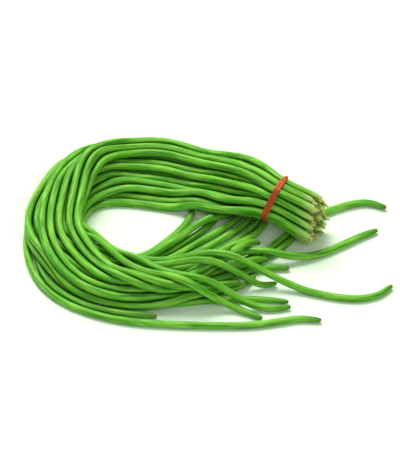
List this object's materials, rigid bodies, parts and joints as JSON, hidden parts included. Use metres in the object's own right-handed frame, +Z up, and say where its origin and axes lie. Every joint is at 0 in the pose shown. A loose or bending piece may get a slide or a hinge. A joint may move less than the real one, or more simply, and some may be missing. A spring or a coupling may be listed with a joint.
{
  "type": "yardlong bean bunch",
  "caption": "Fresh yardlong beans tied near their stem ends with a red rubber band, folded back in a loop so that the tips fan out beside the tied end",
  "frame": {"origin": "Middle of the bounding box in X and Y, on the surface that the bunch lies on.", "axes": "+X points to the right of the picture, where the stem ends and tips lie; +Y points away from the viewer, towards the back run of the loop; +Z points up."},
  "size_m": [0.3698, 0.277, 0.0637],
  "materials": {
    "bean": "fresh green pod skin, softly glossy, with pale stem ends and dark tips",
    "band": "red rubber, satin"
  },
  "bodies": {
    "root": {"bean_01": "bean", "bean_02": "bean", "bean_03": "bean", "bean_04": "bean", "bean_05": "bean", "bean_06": "bean", "bean_07": "bean", "bean_08": "bean", "bean_09": "bean", "bean_10": "bean", "bean_11": "bean", "bean_12": "bean", "bean_13": "bean", "bean_14": "bean", "bean_15": "bean", "bean_16": "bean", "bean_17": "bean", "bean_18": "bean", "bean_19": "bean", "bean_20": "bean", "bean_21": "bean", "bean_22": "bean", "bean_23": "bean", "bean_24": "bean", "bean_25": "bean", "bean_26": "bean", "rubber_band": "band"}
  },
  "joints": []
}
